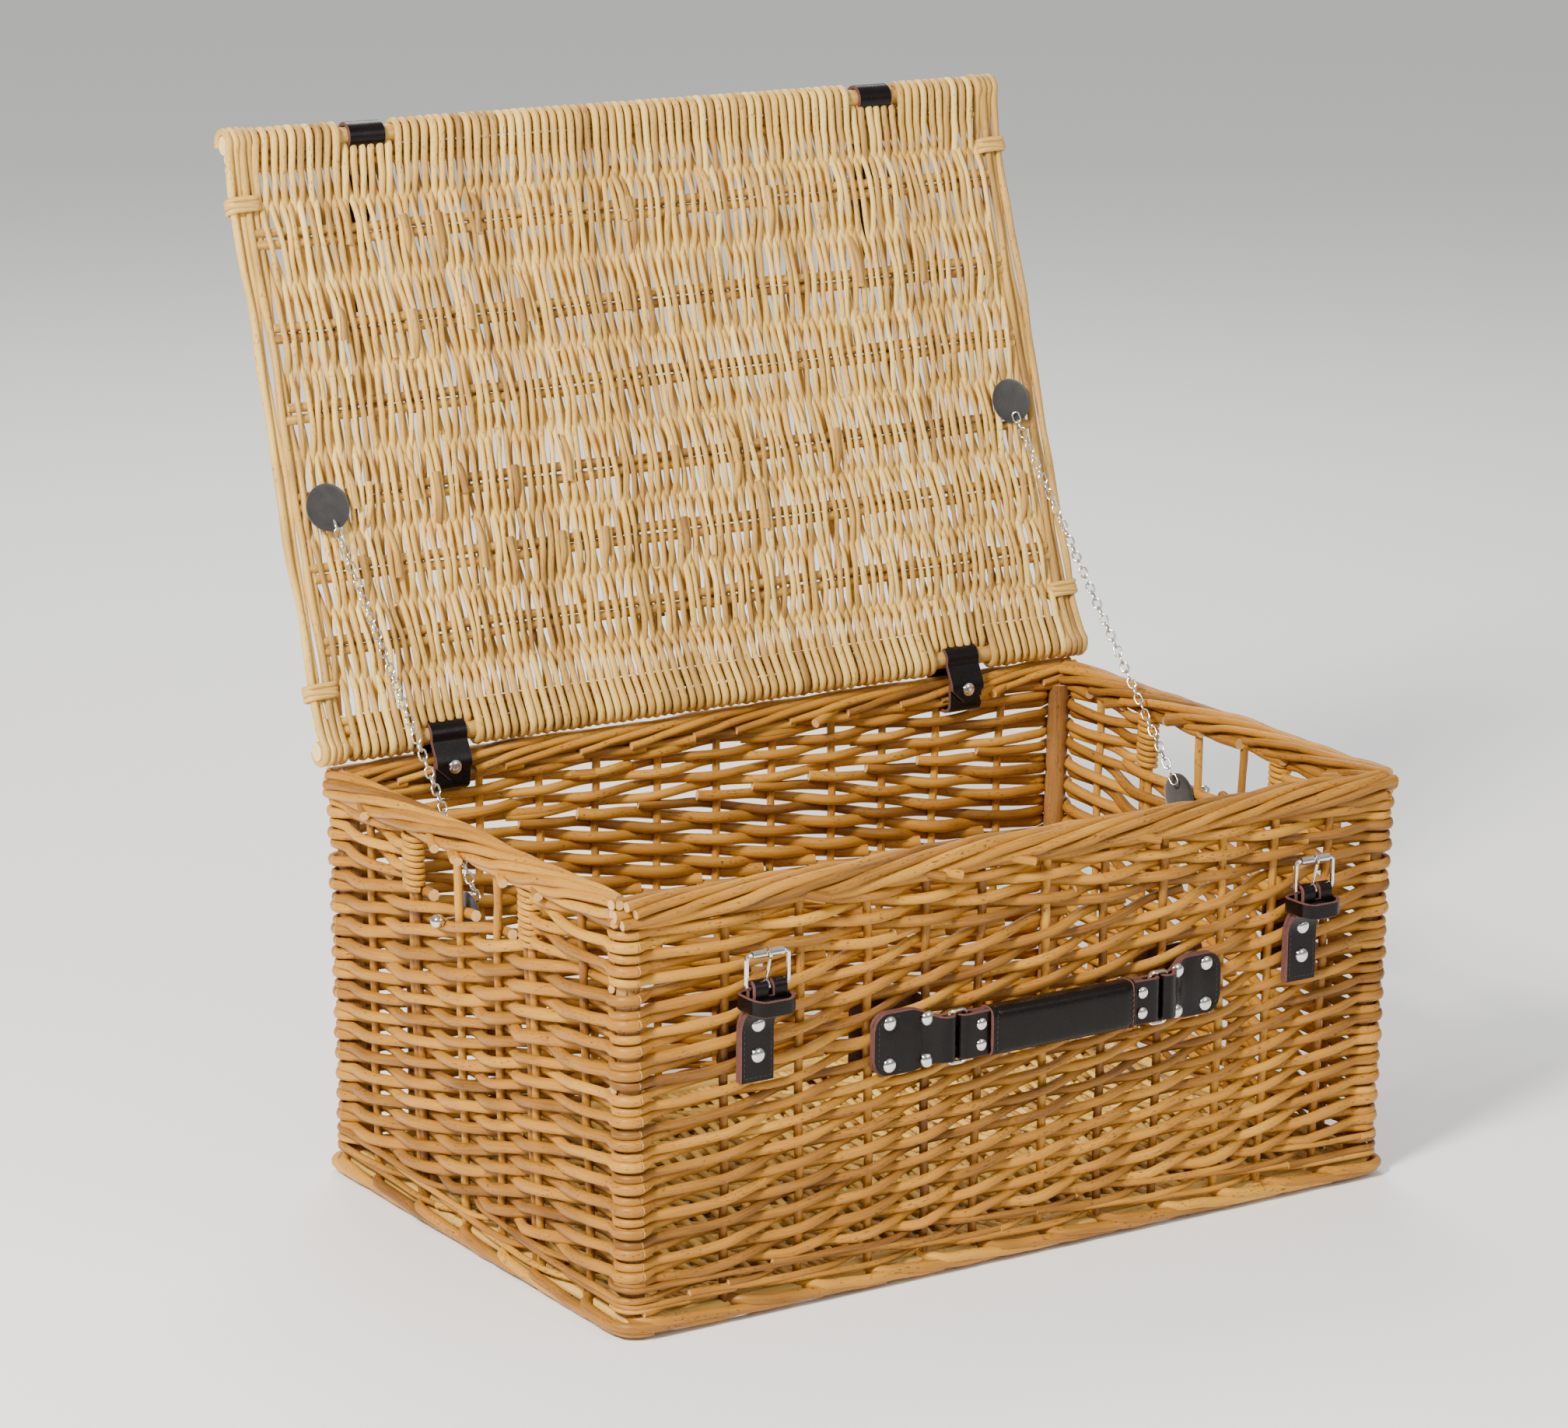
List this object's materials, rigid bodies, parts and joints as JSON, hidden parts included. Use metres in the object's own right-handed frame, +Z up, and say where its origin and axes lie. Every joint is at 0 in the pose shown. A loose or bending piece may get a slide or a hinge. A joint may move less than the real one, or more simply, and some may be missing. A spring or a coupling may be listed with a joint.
{
  "type": "wicker picnic hamper",
  "caption": "Rectangular woven willow picnic hamper with a hinged lid held open by chains, leather straps with roller buckles and a leather carrying handle.",
  "frame": {"origin": "centre of the base on the ground", "axes": "+X along the length to the right seen from the front, +Y to the hinged back, +Z up"},
  "size_m": [0.572, 0.4887, 0.6268],
  "materials": {
    "golden_willow": "buff willow with a thin satin varnish",
    "pale_willow": "pale peeled willow, satin",
    "brown_willow": "unpeeled brown willow, matt",
    "dark_leather": "dark brown finished leather with raw reddish edges",
    "suede": "black suede",
    "steel": "bright nickel plate"
  },
  "bodies": {
    "basket": {"base_panel": "golden_willow", "foot_border": "golden_willow", "upsett_band": "golden_willow", "front_wall": "golden_willow", "back_wall": "golden_willow", "left_wall": "golden_willow", "right_wall": "golden_willow", "corner_post_front_left": "brown_willow", "corner_post_front_right": "brown_willow", "corner_post_back_left": "brown_willow", "corner_post_back_right": "brown_willow", "rim_rail_front": "golden_willow", "rim_rail_back": "golden_willow", "rim_rail_left": "golden_willow", "rim_rail_right": "golden_willow", "hand_hole_stake_left_front": "golden_willow", "hand_hole_stake_left_rear": "golden_willow", "hand_hole_stake_right_front": "golden_willow", "hand_hole_stake_right_rear": "golden_willow", "hinge_strap_left": "dark_leather", "hinge_strap_right": "dark_leather", "wall_disc_left": "suede", "wall_disc_right": "suede", "chain_stud_left": "steel", "chain_stud_right": "steel", "stay_chain_left": "steel", "stay_chain_right": "steel", "buckle_strap_left": "dark_leather", "buckle_strap_right": "dark_leather", "buckle_keeper_left": "dark_leather", "buckle_keeper_right": "dark_leather", "buckle_backing_left": "dark_leather", "buckle_backing_right": "dark_leather", "handle_backing_left": "dark_leather", "handle_backing_right": "dark_leather", "handle_pad_left": "dark_leather", "handle_pad_right": "dark_leather"},
    "lid": {"lid_panel": "pale_willow", "lid_hinge_stick": "pale_willow", "lid_front_stick": "pale_willow", "lid_side_rods_left": "pale_willow", "lid_side_rods_right": "pale_willow", "lid_binding_hinge_left": "pale_willow", "lid_binding_hinge_right": "pale_willow", "lid_binding_front_left": "pale_willow", "lid_binding_front_right": "pale_willow", "lid_disc_left": "suede", "lid_disc_right": "suede"},
    "grip": {"handle_grip": "dark_leather"},
    "closing_strap_left": {"closing_strap_left": "dark_leather"},
    "closing_strap_right": {"closing_strap_right": "dark_leather"},
    "buckle_left": {"buckle_frame_left": "steel"},
    "roller_left": {"buckle_roller_left": "steel"},
    "prong_left": {"buckle_prong_left": "steel"},
    "buckle_right": {"buckle_frame_right": "steel"},
    "roller_right": {"buckle_roller_right": "steel"},
    "prong_right": {"buckle_prong_right": "steel"},
    "ring_left": {"handle_ring_left": "steel"},
    "ring_right": {"handle_ring_right": "steel"}
  },
  "joints": [
    {"name": "lid_hinge", "type": "hinge", "parent": "basket", "child": "lid", "pos_m": [0, 0.1644, 0.268], "axis": [1, 0, 0], "range_deg": [0, 107.9], "deforming": ["stay_chain_left", "stay_chain_right"]},
    {"name": "closing_strap_swing_left", "type": "hinge", "parent": "lid", "child": "closing_strap_left", "pos_m": [-0.187, 0.27738, 0.61781], "axis": [1, 0, 0], "range_deg": [-4, 225]},
    {"name": "closing_strap_swing_right", "type": "hinge", "parent": "lid", "child": "closing_strap_right", "pos_m": [0.186, 0.27738, 0.61781], "axis": [1, 0, 0], "range_deg": [-4, 225]},
    {"name": "buckle_tilt_left", "type": "hinge", "parent": "basket", "child": "buckle_left", "pos_m": [-0.19, -0.1892, 0.2], "axis": [-1, 0, 0], "range_deg": [-90, 30]},
    {"name": "roller_spin_left", "type": "hinge", "parent": "buckle_left", "child": "roller_left", "pos_m": [-0.19, -0.1892, 0.219], "axis": [1, 0, 0], "continuous": true},
    {"name": "prong_lift_left", "type": "hinge", "parent": "buckle_left", "child": "prong_left", "pos_m": [-0.19, -0.1892, 0.2], "axis": [1, 0, 0], "range_deg": [0, 85]},
    {"name": "buckle_tilt_right", "type": "hinge", "parent": "basket", "child": "buckle_right", "pos_m": [0.197, -0.1892, 0.197], "axis": [-1, 0, 0], "range_deg": [-90, 30]},
    {"name": "roller_spin_right", "type": "hinge", "parent": "buckle_right", "child": "roller_right", "pos_m": [0.197, -0.1892, 0.216], "axis": [1, 0, 0], "continuous": true},
    {"name": "prong_lift_right", "type": "hinge", "parent": "buckle_right", "child": "prong_right", "pos_m": [0.197, -0.1892, 0.197], "axis": [1, 0, 0], "range_deg": [0, 85]},
    {"name": "handle_pull", "type": "slide", "parent": "basket", "child": "grip", "axis": [0, -1, 0], "range_m": [0, 0.006]},
    {"name": "ring_swing_left", "type": "hinge", "parent": "basket", "child": "ring_left", "pos_m": [-0.0655, -0.187, 0.148], "axis": [0, 0, -1], "range_deg": [0, 30]},
    {"name": "ring_swing_right", "type": "hinge", "parent": "basket", "child": "ring_right", "pos_m": [0.0901, -0.187, 0.148], "axis": [0, 0, 1], "range_deg": [0, 30]}
  ],
  "couplings": [
    {"joint": "ring_swing_left", "follows": "handle_pull", "rad_per_m": 84.9},
    {"joint": "ring_swing_right", "follows": "handle_pull", "rad_per_m": 84.9}
  ]
}
